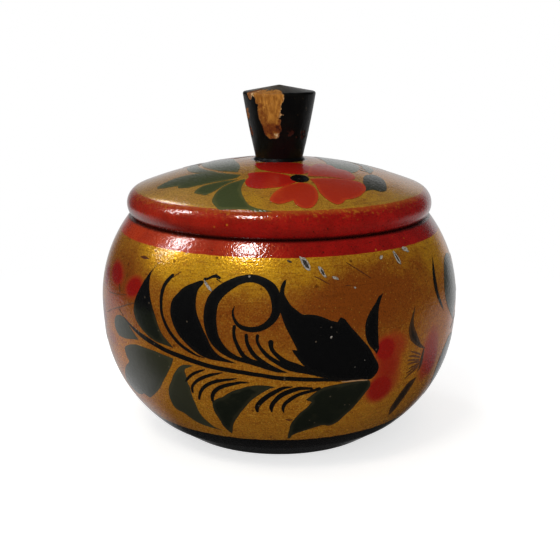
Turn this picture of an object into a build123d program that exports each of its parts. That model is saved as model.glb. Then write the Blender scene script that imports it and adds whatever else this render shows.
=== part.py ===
"""Khokhloma lidded bowl: a lathe-turned linden-wood bowl, its lift-off lid and the lid's glued-in knob.

Millimetres, +Z up. The origin is the centre of the resting face of the foot, on the turning axis.
Each piece is one solid of revolution: a closed half section, drawn as (radius, height), turned about Z.
"""

import os
from math import sqrt

from build123d import *

# ---------------------------------------------------------------- bowl
BELLY_R = 60.0  # widest radius
BELLY_Z = 45.1  # height of the widest point
SHOULDER_ARC_R = 44.9  # outline arc from the belly up to the rim
BELLY_ARC_R = 93.4  # flatter arc just under the belly
HAUNCH_Z = 35.7  # where the flat arc hands over to the haunch
HAUNCH_ARC_R = 45.0  # outline arc from the haunch down to the foot
FOOT_Z = 6.0  # top of the straight cone that ends the outline
FOOT_R = 35.1  # outer radius of the resting face
FOOT_EDGE_R = 0.8
FOOT_RING_W = 6.5  # width of the ring the bowl stands on
FOOT_RECESS_H = 1.6  # depth of the turned recess inside that ring
RIM_Z = 73.2  # flat land that carries the lid
RIM_EDGE_R = 1.2
MOUTH_R = 43.5  # bore that centres the lid
MOUTH_DEPTH = 6.5
MOUTH_EDGE_R = 0.6
WALL = 6.5  # wall at the belly and down the haunch
FLOOR_Z = 8.0
FLOOR_CORNER_R = 22.0

# ---------------------------------------------------------------- lid
DOME_R = 131.0  # spherical radius of the top
DOME_TOP_Z = 91.0  # crown of that sphere, hidden under the knob
BEAD_OUT_R = 50.7  # widest radius of the rounded bead
BEAD_ARC_R = 5.4
SPIGOT_FIT = 0.35  # radial clearance in the mouth
SPIGOT_DEPTH = 4.6
SPIGOT_WALL = 4.0
SPIGOT_EDGE_R = 0.8
CROWN_THICKNESS = 8.0
HOLLOW_DOME_R = 120.0  # spherical radius of the dished underside
HOLLOW_CORNER_R = 5.0

# ---------------------------------------------------------------- knob
KNOB_SEAT_R = 8.6  # flat land turned on the crown, and the knob's foot on it
KNOB_WAIST_R = 7.85
KNOB_FLARE_H = 0.9  # height of the small flare between foot and waist
KNOB_RIM_R = 12.05
KNOB_RIM_Z = 112.8
KNOB_BULGE = 0.2  # how far the flared side bows out from straight
KNOB_EDGE_R = 0.7
KNOB_TOP_Z = 115.0  # tip of the shallow conical top
TENON_R = 4.0
TENON_LENGTH = 5.0
TENON_CHAMFER = 0.5
GLUE_LINE = 0.05  # radial gap around the tenon
GLUE_WELL = 0.3  # empty depth under the tenon

SAME = 0.01  # two sizes closer than this are the same edge


def arc_offset(arc_radius, rise):
    """How far out of its centre an arc lies at a height of rise above or below that centre."""
    return sqrt(arc_radius**2 - rise**2)


def dome_height(crown_z, sphere_radius, radius):
    """Height of a spherical cap at a radius from the axis."""
    return crown_z - sphere_radius + arc_offset(sphere_radius, radius)


def chain(start, *moves):
    """Edges of a closed half section: each move is the next (radius, height), or a pair (through, next)."""
    edges = []
    here = start
    for move in moves:
        if isinstance(move[0], tuple):
            through, there = move
            edges.append(ThreePointArc(point(here), point(through), point(there)))
        else:
            there = move
            edges.append(Line(point(here), point(there)))
        here = there
    edges.append(Line(point(here), point(start)))
    return edges


def point(place):
    """(radius, height) as a point of the section plane."""
    radius, height = place
    return Vector(radius, 0, height)


def turned(edges):
    """The solid that a closed half section sweeps about the turning axis."""
    return revolve(make_face(Wire(edges)), Axis.Z)


def softened(solid, size, *rings):
    """Rounds the circular edges of the given (radius, height)."""
    circles = solid.edges().filter_by(GeomType.CIRCLE)
    chosen = []
    for circle in circles:
        for radius, height in rings:
            if abs(circle.radius - radius) < SAME and abs(circle.arc_center.Z - height) < SAME:
                chosen.append(circle)
    return fillet(chosen, size)


def outline_radius(height, inset):
    """Radius of the bowl's outline at a height, moved in square to the surface by inset."""
    belly_centre = BELLY_R - BELLY_ARC_R
    if height >= BELLY_Z:
        return BELLY_R - SHOULDER_ARC_R + arc_offset(SHOULDER_ARC_R - inset, height - BELLY_Z)
    lean = (BELLY_Z - HAUNCH_Z) / BELLY_ARC_R
    haunch_r = belly_centre + (BELLY_ARC_R - HAUNCH_ARC_R) * arc_offset(1, lean)
    haunch_z = BELLY_Z - (BELLY_ARC_R - HAUNCH_ARC_R) * lean
    handover_z = HAUNCH_Z + inset * lean
    if height >= handover_z:
        return belly_centre + arc_offset(BELLY_ARC_R - inset, BELLY_Z - height)
    return haunch_r + arc_offset(HAUNCH_ARC_R - inset, haunch_z - height)


def outline_arc(low, high, inset):
    """The (through, end) move along the outline between two heights that share one arc."""
    middle = (low + high) / 2
    return (outline_radius(middle, inset), middle), (outline_radius(high, inset), high)


def bowl():
    """Round-bellied bowl: foot ring, haunch, belly, rim land and the hollow behind the mouth."""
    recess_r = FOOT_R - FOOT_RING_W
    rim_r = outline_radius(RIM_Z, 0)
    blank = turned(
        chain(
            (0, FOOT_RECESS_H),
            (recess_r - FOOT_RECESS_H, FOOT_RECESS_H),
            (recess_r, 0),
            (FOOT_R, 0),
            (outline_radius(FOOT_Z, 0), FOOT_Z),
            outline_arc(FOOT_Z, HAUNCH_Z, 0),
            outline_arc(HAUNCH_Z, BELLY_Z, 0),
            outline_arc(BELLY_Z, RIM_Z, 0),
            (0, RIM_Z),
        )
    )
    blank = softened(blank, FOOT_EDGE_R, (FOOT_R, 0))
    blank = softened(blank, RIM_EDGE_R, (rim_r, RIM_Z))

    # the inside keeps the outline at a wall's distance up to the belly, then closes in to the mouth
    mouth_z = RIM_Z - MOUTH_DEPTH
    inner_belly_r = BELLY_R - WALL
    closing = inner_belly_r - MOUTH_R
    rise = mouth_z - BELLY_Z
    closing_arc_r = (rise**2 + closing**2) / (2 * closing)
    half_rise = rise / 2
    half_r = inner_belly_r - closing_arc_r + arc_offset(closing_arc_r, half_rise)
    inner_haunch_z = HAUNCH_Z + WALL * (BELLY_Z - HAUNCH_Z) / BELLY_ARC_R
    floor_r = outline_radius(FLOOR_Z, WALL)
    hollow = turned(
        chain(
            (0, FLOOR_Z),
            (floor_r, FLOOR_Z),
            outline_arc(FLOOR_Z, inner_haunch_z, WALL),
            outline_arc(inner_haunch_z, BELLY_Z, WALL),
            ((half_r, BELLY_Z + half_rise), (MOUTH_R, mouth_z)),
            (MOUTH_R, RIM_Z),
            (0, RIM_Z),
        )
    )
    hollow = softened(hollow, FLOOR_CORNER_R, (floor_r, FLOOR_Z))
    return softened(blank - hollow, MOUTH_EDGE_R, (MOUTH_R, RIM_Z))


def lid():
    """Domed lid: the bead overhangs the rim land, the spigot drops into the mouth, a socket holds the knob."""
    dome_centre_z = DOME_TOP_Z - DOME_R
    bead_r = BEAD_OUT_R - BEAD_ARC_R
    bead_z = dome_centre_z + arc_offset(DOME_R - BEAD_ARC_R, bead_r)
    reach = DOME_R / (DOME_R - BEAD_ARC_R)  # from the dome's centre through the bead's to where they touch
    dome_end = (bead_r * reach, dome_centre_z + (bead_z - dome_centre_z) * reach)
    dome_mid_r = (KNOB_SEAT_R + dome_end[0]) / 2
    dome_mid = (dome_mid_r, dome_height(DOME_TOP_Z, DOME_R, dome_mid_r))
    seat_z = dome_height(DOME_TOP_Z, DOME_R, KNOB_SEAT_R)

    spigot_out = MOUTH_R - SPIGOT_FIT
    spigot_in = spigot_out - SPIGOT_WALL
    spigot_z = RIM_Z - SPIGOT_DEPTH
    hollow_z = DOME_TOP_Z - CROWN_THICKNESS
    hollow_end = (spigot_in, dome_height(hollow_z, HOLLOW_DOME_R, spigot_in))
    hollow_mid = (spigot_in / 2, dome_height(hollow_z, HOLLOW_DOME_R, spigot_in / 2))
    socket_r = TENON_R + GLUE_LINE
    socket_z = seat_z - TENON_LENGTH - GLUE_WELL

    solid = turned(
        chain(
            (0, socket_z),
            (socket_r, socket_z),
            (socket_r, seat_z),
            (KNOB_SEAT_R, seat_z),
            (dome_mid, dome_end),
            ((BEAD_OUT_R, bead_z), (bead_r + arc_offset(BEAD_ARC_R, bead_z - RIM_Z), RIM_Z)),
            (spigot_out, RIM_Z),
            (spigot_out, spigot_z),
            (spigot_in, spigot_z),
            hollow_end,
            (hollow_mid, (0, hollow_z)),
        )
    )
    solid = softened(solid, HOLLOW_CORNER_R, hollow_end)
    return softened(solid, SPIGOT_EDGE_R, (spigot_out, spigot_z), (spigot_in, spigot_z))


def lid_knob():
    """Flared knob with a shallow conical top, glued by its tenon into the lid."""
    seat_z = dome_height(DOME_TOP_Z, DOME_R, KNOB_SEAT_R)
    tenon_z = seat_z - TENON_LENGTH
    waist = (KNOB_WAIST_R, seat_z + KNOB_FLARE_H)
    side_mid = ((KNOB_WAIST_R + KNOB_RIM_R) / 2 + KNOB_BULGE, (waist[1] + KNOB_RIM_Z) / 2)
    solid = turned(
        chain(
            (0, tenon_z),
            (TENON_R - TENON_CHAMFER, tenon_z),
            (TENON_R, tenon_z + TENON_CHAMFER),
            (TENON_R, seat_z),
            (KNOB_SEAT_R, seat_z),
            waist,
            (side_mid, (KNOB_RIM_R, KNOB_RIM_Z)),
            (0, KNOB_TOP_Z),
        )
    )
    return softened(solid, KNOB_EDGE_R, (KNOB_RIM_R, KNOB_RIM_Z))


os.makedirs("parts", exist_ok=True)
for piece in (bowl, lid, lid_knob):
    export_step(piece(), f"parts/{piece.__name__}.step")
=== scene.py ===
"""Khokhloma lidded bowl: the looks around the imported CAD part.

The turned pieces are lathe meshes swept from the CAD's own half sections. The brushwork lies on them as
thin closed films of paint, drawn in flat millimetres: (round, up) on the bowl, (across, back) on the lid.
"""

import math

import bpy
import numpy as np
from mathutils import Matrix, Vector, geometry, noise


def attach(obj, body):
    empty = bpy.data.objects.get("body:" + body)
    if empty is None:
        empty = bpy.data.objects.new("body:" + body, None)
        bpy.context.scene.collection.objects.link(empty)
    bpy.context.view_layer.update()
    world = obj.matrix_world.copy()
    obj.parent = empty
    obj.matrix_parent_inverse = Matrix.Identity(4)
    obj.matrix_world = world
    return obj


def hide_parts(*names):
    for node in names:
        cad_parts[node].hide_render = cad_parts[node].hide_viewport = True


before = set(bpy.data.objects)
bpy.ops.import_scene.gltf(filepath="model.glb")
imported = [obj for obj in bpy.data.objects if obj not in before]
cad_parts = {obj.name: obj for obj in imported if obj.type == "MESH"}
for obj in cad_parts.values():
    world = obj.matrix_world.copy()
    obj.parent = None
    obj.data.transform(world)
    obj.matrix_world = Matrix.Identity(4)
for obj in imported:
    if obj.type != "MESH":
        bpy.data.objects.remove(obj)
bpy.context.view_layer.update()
MM = 0.001
SEED = 7  # noise_vector's offsets come from the clock unless they are seeded
noise.seed_set(SEED)

# ---- sizes in mm
BELLY_R = 60.0  # distances round the bowl are measured at this radius
REPEAT = math.pi * BELLY_R  # the painting comes twice round the bowl
RED_BORDER = 25.2  # up from the belly: gold below, red above
FOOT_BORDER = -36.7  # black foot below
SKIN_LOW, SKIN_HIGH = -52, RED_BORDER + 8  # the part of the bowl's section that can carry paint
LID_BORDER_R = 48.1  # gold top inside, red bead outside
BEAD_FOOT_Z = 73.2  # the bead sits on the rim here
GLUE_R = 9.0  # dark ring round the knob
PAINT = 0.045  # a film of paint stands this proud, and is sunk as far
LAYER = 0.003  # each later stroke stands this much higher
LAYERS = 12  # after so many strokes the height starts again
CORNER = math.radians(32)  # a sharper turn in a section is a real edge
DETAIL = 0.55  # spacing of points along a brush stroke
LEAST_WIDTH = 0.12  # of a brush stroke
SEGMENTS = 320  # round the bowl and the lid
KNOB_SEGMENTS = 216

GOLD_WOOD = "gold_lacquered_wood"
RED_WOOD = "red_lacquered_wood"
BLACK_WOOD = "black_lacquered_wood"


# ---- curves
def catmull(p0, p1, p2, p3, t):
    """A point of the centripetal curve between p1 and p2."""
    k0 = 0.0
    k1 = k0 + max(np.hypot(*(p1 - p0)[:2]), 1e-6) ** 0.5
    k2 = k1 + max(np.hypot(*(p2 - p1)[:2]), 1e-6) ** 0.5
    k3 = k2 + max(np.hypot(*(p3 - p2)[:2]), 1e-6) ** 0.5
    k = k1 + (k2 - k1) * t
    a1 = p0 + (p1 - p0) * (k - k0) / (k1 - k0)
    a2 = p1 + (p2 - p1) * (k - k1) / (k2 - k1)
    a3 = p2 + (p3 - p2) * (k - k2) / (k3 - k2)
    b1 = a1 + (a2 - a1) * (k - k0) / (k2 - k0)
    b2 = a2 + (a3 - a2) * (k - k1) / (k3 - k1)
    return b1 + (b2 - b1) * (k - k1) / (k2 - k1)


def smooth(points, step):
    """An open run of points made dense and round."""
    points = np.array(points, float)
    before = 2 * points[0] - points[1]
    after = 2 * points[-1] - points[-2]
    run = np.vstack([before, points, after])
    out = [points[0]]
    for i in range(1, len(points)):
        count = max(1, math.ceil(np.hypot(*(run[i + 1] - run[i])[:2]) / step))
        for j in range(1, count + 1):
            out.append(catmull(run[i - 1], run[i], run[i + 1], run[i + 2], j / count))
    return np.array(out)


def loop(points, step):
    """A closed outline. A point with a third value is a sharp corner."""
    sharp = [i for i, p in enumerate(points) if len(p) > 2]
    flat = [p[:2] for p in points]
    if not sharp:
        run = flat[-2:] + flat + flat[:2]
        dense = smooth(run, step)
        first = np.argmin(np.hypot(*(dense - flat[0]).T))
        last = len(dense) - 1 - np.argmin(np.hypot(*(dense[::-1] - flat[0]).T))
        return dense[first:last]
    turned = flat[sharp[0]:] + flat[: sharp[0]]
    marks = [i - sharp[0] for i in sharp] + [len(flat)]
    turned.append(turned[0])
    parts = [smooth(turned[a : b + 1], step)[:-1] for a, b in zip(marks, marks[1:])]
    return np.vstack(parts)


# ---- turned pieces
def half_section(node):
    """The node's outline on its seam as (radius, height) in mm, counter-clockwise from axis to axis."""
    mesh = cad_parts[node].data
    seam = {}
    for v in mesh.vertices:
        if abs(v.co.y) < 1e-6 and v.co.x > -1e-6:
            seam[v.index] = (round(v.co.x / MM, 3), round(v.co.z / MM, 3))
    links = {}
    for edge in mesh.edges:
        a, b = edge.vertices
        if a in seam and b in seam and seam[a] != seam[b]:
            links.setdefault(seam[a], set()).add(seam[b])
            links.setdefault(seam[b], set()).add(seam[a])
    chain = [min((p for p in links if len(links[p]) == 1), key=lambda p: p[1])]
    while True:
        ahead = [p for p in links[chain[-1]] if p not in chain]
        if not ahead:
            break
        chain.append(ahead[0])
    chain = np.abs(np.array(chain))
    area = np.sum(chain[:-1, 0] * chain[1:, 1] - chain[1:, 0] * chain[:-1, 1])
    return chain if area > 0 else chain[::-1]


def rounded_section(node, step):
    """The half section with its arcs made truly round between the real edges."""
    chain = half_section(node)
    ahead = np.diff(chain, axis=0)
    heading = np.unwrap(np.arctan2(ahead[:, 1], ahead[:, 0]))
    edges = [i + 1 for i, turn in enumerate(np.abs(np.diff(heading))) if turn > CORNER]
    marks = [0] + edges + [len(chain) - 1]
    parts = [smooth(chain[a : b + 1], step) for a, b in zip(marks, marks[1:])]
    return np.vstack([parts[0]] + [p[1:] for p in parts[1:]])


def path_along(section):
    """Distance along the section at each of its points."""
    return np.concatenate([[0.0], np.cumsum(np.hypot(*np.diff(section, axis=0).T))])


def normals_of(section):
    """Outward directions at the section's points."""
    ahead = np.gradient(section, axis=0)
    length = np.hypot(*ahead.T)
    return np.stack([ahead[:, 1], -ahead[:, 0]], axis=1) / np.maximum(length, 1e-9)[:, None]


def new_object(name, mesh, material, body):
    obj = bpy.data.objects.new(name, mesh)
    bpy.context.scene.collection.objects.link(obj)
    mesh.materials.append(material)
    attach(obj, body)
    return obj


def attribute(mesh, name, values):
    layer = mesh.attributes.new(name, "FLOAT", "POINT")
    layer.data.foreach_set("value", np.asarray(values, np.float32).ravel())


def lathe(node, section, path, count, material, body, slot, sunk=0.0, **layers):
    """A solid of turning. sunk moves its skin inward; layers are values kept on its vertices, by name.

    Both are (ring, segment) arrays."""
    angle = np.arange(count) * 2 * math.pi / count
    inner = section[1:-1]
    out = normals_of(section)[1:-1]
    radius = inner[:, :1] - sunk * out[:, :1]
    height = inner[:, 1:] - sunk * out[:, 1:]
    x = radius * np.sin(angle)
    y = -radius * np.cos(angle)
    z = np.broadcast_to(height, x.shape)
    rings = np.stack([x, y, z], axis=2).reshape(-1, 3)
    tips = [(0, 0, section[0][1]), (0, 0, section[-1][1])]
    verts = np.vstack([rings, tips]) * MM
    faces = []
    for i in range(len(inner) - 1):
        for j in range(count):
            k = (j + 1) % count
            faces.append((i * count + j, i * count + k, (i + 1) * count + k, (i + 1) * count + j))
    low, high = len(rings), len(rings) + 1
    last = (len(inner) - 1) * count
    for j in range(count):
        k = (j + 1) % count
        faces.append((low, k, j))
        faces.append((high, last + j, last + k))
    mesh = bpy.data.meshes.new(node + "_turned")
    mesh.from_pydata(verts.tolist(), [], faces)
    mesh.shade_smooth()
    mesh.set_sharp_from_angle(angle=CORNER)
    along = np.repeat(path[1:-1], count)
    attribute(mesh, "path_mm", np.append(along, [path[0], path[-1]]))
    for key, grid in layers.items():
        attribute(mesh, key, np.append(grid[1:-1].ravel(), [grid[0, 0], grid[-1, 0]]))
    obj = new_object(node + "_turned", mesh, material, body)
    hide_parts(node)


# ---- films of paint
def wobble(points, seed, size=0.06, reach=3.0):
    """The unsteadiness of a hand with a brush."""
    moved = np.array(points, float)
    for p in moved:
        shift = noise.noise_vector(Vector((p[0] / reach, p[1] / reach, seed)))
        p[0] += shift.x * size
        p[1] += shift.y * size
    return moved


def ribbon(points, seed):
    """A brush stroke as (rows, 3) flat points and its quads. points are (across, up, width)."""
    run = smooth(points, DETAIL)
    run[:, 2] = np.maximum(run[:, 2], LEAST_WIDTH)
    run = wobble(run, seed)
    ahead = np.gradient(run[:, :2], axis=0)
    ahead /= np.maximum(np.hypot(*ahead.T), 1e-9)[:, None]
    rows = []
    turns = np.radians([78, 52, 26])  # the round ends
    first, last = run[0], run[-1]
    for t in turns:
        rows.append((first[:2] - ahead[0] * math.sin(t) * first[2] / 2, ahead[0], first[2] * math.cos(t)))
    for p, a in zip(run, ahead):
        rows.append((p[:2], a, p[2]))
    for t in turns[::-1]:
        rows.append((last[:2] + ahead[-1] * math.sin(t) * last[2] / 2, ahead[-1], last[2] * math.cos(t)))
    flat = []
    for centre, a, width in rows:
        side = np.array([-a[1], a[0]]) * width / 2
        flat += [centre - side, centre, centre + side]
    faces = []
    for i in range(len(rows) - 1):
        for j in range(2):
            a = i * 3 + j
            faces.append((a, a + 3, a + 4, a + 1))
    edge = np.zeros(len(flat))
    edge[1::3] = [row[2] / 2 for row in rows]
    return np.array(flat), faces, edge


def distance_to(outline, points):
    """How far each point lies from the nearest point of the outline."""
    apart = points[:, None, :2] - outline[None, :, :2]
    return np.hypot(apart[..., 0], apart[..., 1]).min(axis=1)


def inside(outline, points):
    """Which points lie within the outline."""
    x, y = points[:, 0], points[:, 1]
    hit = np.zeros(len(points), bool)
    for (x0, y0), (x1, y1) in zip(outline, np.roll(outline, -1, axis=0)):
        if y0 != y1:
            hit ^= ((y0 > y) != (y1 > y)) & (x < (x1 - x0) * (y - y0) / (y1 - y0) + x0)
    return hit


def patch(points, seed, spacing):
    """A filled leaf or petal as flat points and triangles."""
    outline = wobble(loop(points, DETAIL * 1.2), seed)
    low, high = outline.min(axis=0), outline.max(axis=0)
    rows = np.arange(low[1], high[1], spacing * 0.87)
    grid = []
    for i, y in enumerate(rows):
        for x in np.arange(low[0] + (i % 2) * spacing / 2, high[0], spacing):
            grid.append((x, y))
    grid = np.array(grid) if grid else np.zeros((0, 2))
    if len(grid):
        grid = grid[inside(outline, grid)]
    if len(grid):
        grid = grid[distance_to(outline, grid) > spacing * 0.45]
    verts = [Vector(p) for p in np.vstack([outline, grid])]
    made = geometry.delaunay_2d_cdt(verts, [], [list(range(len(outline)))], 1, 1e-5)
    flat = np.array([tuple(v) for v in made[0]])
    faces = []
    for a, b, c in made[2]:
        turn = np.cross(flat[b] - flat[a], flat[c] - flat[a])
        if abs(turn) > 1e-7:
            faces.append((a, b, c) if turn > 0 else (a, c, b))
    return flat, faces, distance_to(outline, flat)


def films(name, marks, place, material, body, level, spacing=1.7):
    """One object of closed paint films. marks are ("stroke" or "fill", points), painted in that order."""
    verts, faces, edges, normals = [], [], [], []
    for index, (kind, points) in enumerate(marks):
        seed = index * 1.7 + level
        flat, tops, edge = ribbon(points, seed) if kind == "stroke" else patch(points, seed, spacing)
        height = PAINT + LAYER * (level + index % LAYERS)
        top, out = place(flat, height)
        bottom, _ = place(flat, -PAINT)
        base = sum(len(v) for v in verts)
        count = len(flat)
        rim = {}
        for f in tops:
            for a, b in zip(f, f[1:] + f[:1]):
                if (b, a) in rim:
                    del rim[(b, a)]
                else:
                    rim[(a, b)] = True
        verts += [top, bottom]
        edges += [edge, edge]
        normals += [out, out]
        faces += [tuple(base + i for i in f) for f in tops]
        faces += [tuple(base + count + i for i in reversed(f)) for f in tops]
        faces += [(base + b, base + a, base + count + a, base + count + b) for a, b in rim]
    mesh = bpy.data.meshes.new(name)
    mesh.from_pydata((np.vstack(verts) * MM).tolist(), [], faces)
    mesh.shade_smooth()
    attribute(mesh, "edge_mm", np.concatenate(edges))
    mesh.normals_split_custom_set_from_vertices(np.vstack(normals).tolist())
    new_object(name, mesh, material, body)


# ---- shader building
class Shade:
    """A material under construction. Each call adds a node and gives back its output."""

    def __init__(self, name, owner=None):
        self.mat = owner or bpy.data.materials.new(name)
        self.mat.use_nodes = True
        self.tree = self.mat.node_tree
        self.tree.nodes.clear()
        self.coord = self.node("ShaderNodeTexCoord").outputs
        self.place = self.vector("SCALE", {0: self.coord["Object"], "Scale": 1 / MM})[0]  # in mm

    def node(self, kind, inputs=None, **settings):
        node = self.tree.nodes.new(kind)
        for key, value in settings.items():
            setattr(node, key, value)
        for key, value in (inputs or {}).items():
            if isinstance(value, bpy.types.NodeSocket):
                self.tree.links.new(value, node.inputs[key])
            else:
                node.inputs[key].default_value = value
        return node

    def vector(self, operation, inputs):
        return self.node("ShaderNodeVectorMath", inputs, operation=operation).outputs

    def math(self, operation, a, b=0.0, clamp=False):
        return self.node("ShaderNodeMath", {0: a, 1: b}, operation=operation, use_clamp=clamp).outputs[0]

    def times(self, a, b):
        return self.math("MULTIPLY", a, b)

    def plus(self, a, b):
        return self.math("ADD", a, b)

    def minus(self, a, b, clamp=False):
        return self.math("SUBTRACT", a, b, clamp)

    def most(self, a, b):
        return self.math("MAXIMUM", a, b)

    def stretch(self, x, y, z):
        """The place, with each direction scaled: a noise there has features 1 / x, 1 / y and 1 / z long."""
        return self.vector("MULTIPLY", {0: self.place, 1: (x, y, z)})[0]

    def split(self, vector=None):
        """x, y and z of a vector, or of the place in mm."""
        return self.node("ShaderNodeSeparateXYZ", {0: vector or self.place}).outputs

    def layer(self, name):
        """Values kept on the mesh."""
        return self.node("ShaderNodeAttribute", attribute_name=name).outputs["Fac"]

    def noise(self, size, detail=2.0, roughness=0.5, vector=None):
        """Cloudy values about 0.5; size is the feature size in mm."""
        made = self.node("ShaderNodeTexNoise", {"Vector": vector or self.place, "Scale": 1 / size,
                                                "Detail": detail, "Roughness": roughness})
        return made.outputs[0]

    def drift(self, amount, size, detail=3, roughness=0.6):
        """Cloudy values about 0, amount from end to end."""
        return self.times(self.minus(self.noise(size, detail, roughness), 0.5), amount)

    def specks(self, size, share):
        """Scattered dots: 1 in the dot, 0 outside; share is how many cells have one."""
        cells = self.node("ShaderNodeTexVoronoi", {"Vector": self.place, "Scale": 1 / size})
        near = self.ramp(cells.outputs["Distance"], 0.22, 0.12)
        lucky = self.math("LESS_THAN", self.split(cells.outputs["Color"])[0], share)
        return self.times(near, lucky)

    def ramp(self, value, low, high, to_low=0.0, to_high=1.0):
        """An eased step: to_low where value is low, to_high where it is high."""
        made = self.node("ShaderNodeMapRange", {0: value, 1: low, 2: high, 3: to_low, 4: to_high})
        made.interpolation_type = "SMOOTHSTEP"
        return made.outputs[0]

    def mix(self, factor, a, b):
        """Colour a where factor is 0, b where it is 1."""
        made = self.node("ShaderNodeMix", data_type="RGBA")
        for index, value in ((0, factor), (6, a), (7, b)):
            if isinstance(value, bpy.types.NodeSocket):
                self.tree.links.new(value, made.inputs[index])
            elif index == 0:
                made.inputs[0].default_value = value
            else:
                made.inputs[index].default_value = (*value, 1.0)
        return made.outputs[2]

    def over(self, color, other, value, low, high, cover=1.0):
        """The colour, covered by another where value is high."""
        return self.mix(self.ramp(value, low, high, 0.0, cover), color, other)

    def flecks(self, color, size, share, strength, fleck):
        """The colour with scattered dots of another."""
        return self.mix(self.times(self.specks(size, share), strength), color, fleck)

    def bump(self, height, depth, under=None):
        """depth is in mm for a height of 0 to 1."""
        inputs = {"Height": height, "Strength": 1.0, "Distance": depth * MM}
        if under is not None:
            inputs["Normal"] = under
        return self.node("ShaderNodeBump", inputs).outputs[0]

    def finish(self, color, roughness, metallic, coat, coat_roughness, normal, coat_normal=None, shine=0.12,
               tint=(1.0, 1.0, 1.0)):
        """The whole surface: a base with its own shine, and a clear coat over it."""
        inputs = {"Base Color": color, "Roughness": roughness, "Metallic": metallic, "Normal": normal,
                  "Specular IOR Level": shine, "Specular Tint": (*tint, 1.0),
                  "Coat Weight": coat, "Coat Roughness": coat_roughness, "Coat IOR": 1.5}
        if coat_normal is not None:
            inputs["Coat Normal"] = coat_normal
        shader = self.node("ShaderNodeBsdfPrincipled", inputs)
        self.node("ShaderNodeOutputMaterial", {0: shader.outputs[0]})
        return self.mat


# ---- colours, linear
GOLD_BRIGHT = (0.75, 0.375, 0.013)
GOLD_OCHRE = (0.52, 0.195, 0.013)
GOLD_AMBER = (0.28, 0.066, 0.007)
GOLD_BROWN = (0.095, 0.024, 0.004)
# painted reflection on the lid's gold
GOLD_PAINTED_HAZE = (0.50, 0.36, 0.15)
# the powder's bright grain, and painted glints
GOLD_GRAIN_GLINT = (0.95, 0.60, 0.09)
RED = (0.33, 0.0052, 0.0048)
RED_DEEP = (0.24, 0.0038, 0.0038)
# painted shade on the lid's bead
RED_PAINTED_SHADE = (0.085, 0.0022, 0.0022)
RED_GRAIN = (0.10, 0.003, 0.003)
RED_THIN = (0.42, 0.085, 0.010)
# painted light on the red towards the front left
RED_PAINTED_LIT = (0.50, 0.042, 0.007)
RED_ORANGE = (0.27, 0.030, 0.006)
PETAL_RED = (0.245, 0.0042, 0.0036)
BLACK = (0.0028, 0.0028, 0.0030)
SOOT = (0.0050, 0.0045, 0.0040)
# dust, and on the knob's top also a painted sheen
DUST_AND_SHEEN = (0.16, 0.12, 0.08)
# painted shade where the lid meets the bowl
SEAM_SHADE = (0.012, 0.004, 0.003)
WARM_SHINE = (1.0, 0.24, 0.06)
FOOT_WOOD_DARK = (0.16, 0.09, 0.04)
FOOT_WOOD = (0.36, 0.23, 0.11)
WOOD_DEEP = (0.25, 0.080, 0.008)
WOOD_LIGHT = (0.57, 0.245, 0.036)
WOOD_STREAK = (0.16, 0.052, 0.010)
WOOD_PALE = (0.78, 0.55, 0.29)
WOOD_RIM = (0.45, 0.28, 0.13)
STAIN_AMBER = (0.21, 0.058, 0.006)
STAIN_BROWN = (0.15, 0.027, 0.004)
STAIN_BLACK = (0.040, 0.008, 0.0045)
GREEN_SHALLOW = (0.022, 0.021, 0.010)
GREEN_DEEP = (0.0075, 0.0095, 0.0050)


# ---- materials
def gold_ground(s, yellow, brown):
    """Gold lacquer over tin powder: (colour, grain). yellow and brown are 0 to 1 masks."""
    fine = s.noise(0.9, 3, 0.65)
    streak = s.noise(1, 3, 0.6, s.stretch(0.045, 0.045, 1.5))
    brushed = s.noise(1, 3, 0.65, s.stretch(0.34, 0.34, 1.9))
    grain = s.noise(0.75, 4, 0.8)
    grit = s.noise(0.45, 2, 0.7)
    glint_share = s.minus(1.0, s.times(brown, 0.85), clamp=True)
    color = s.mix(s.ramp(s.plus(yellow, s.drift(0.9, 9)), 0.15, 0.85), GOLD_OCHRE, GOLD_BRIGHT)
    color = s.over(color, GOLD_AMBER, s.plus(brown, s.drift(0.7, 5)), 0.1, 1.0)
    color = s.over(color, GOLD_BROWN, streak, 0.54, 0.80, 0.40)
    color = s.over(color, GOLD_AMBER, brushed, 0.50, 0.30, 0.55)
    color = s.over(color, GOLD_BROWN, fine, 0.56, 0.82, 0.35)
    color = s.over(color, GOLD_BROWN, grit, 0.48, 0.34, 0.50)
    # bright specks, partly the powder's own grain and partly painted glints, held back where the gold is
    # browner
    color = s.mix(s.times(s.ramp(grit, 0.55, 0.68, 0.0, 0.45), glint_share), color, GOLD_GRAIN_GLINT)
    color = s.mix(s.times(s.ramp(grain, 0.54, 0.70, 0.0, 0.5), glint_share), color, GOLD_GRAIN_GLINT)
    color = s.over(color, GOLD_BROWN, grain, 0.46, 0.28, 0.75)
    # more bright specks: grain of the powder, and painted glints
    color = s.flecks(color, 0.8, 0.25, 0.35, GOLD_GRAIN_GLINT)
    color = s.flecks(color, 2.6, 0.10, 0.7, GOLD_BROWN)
    return color, grain


def inside_gold(s, rings):
    """The plain worn gold of the inside."""
    color = s.mix(s.ramp(s.noise(11, 3, 0.5), 0.35, 0.70), GOLD_OCHRE, GOLD_BRIGHT)
    color = s.over(color, GOLD_AMBER, rings, 0.45, 0.75, 0.8)
    return s.over(color, GOLD_BROWN, s.noise(0.5, 3, 0.7), 0.60, 0.8, 0.45)


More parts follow.
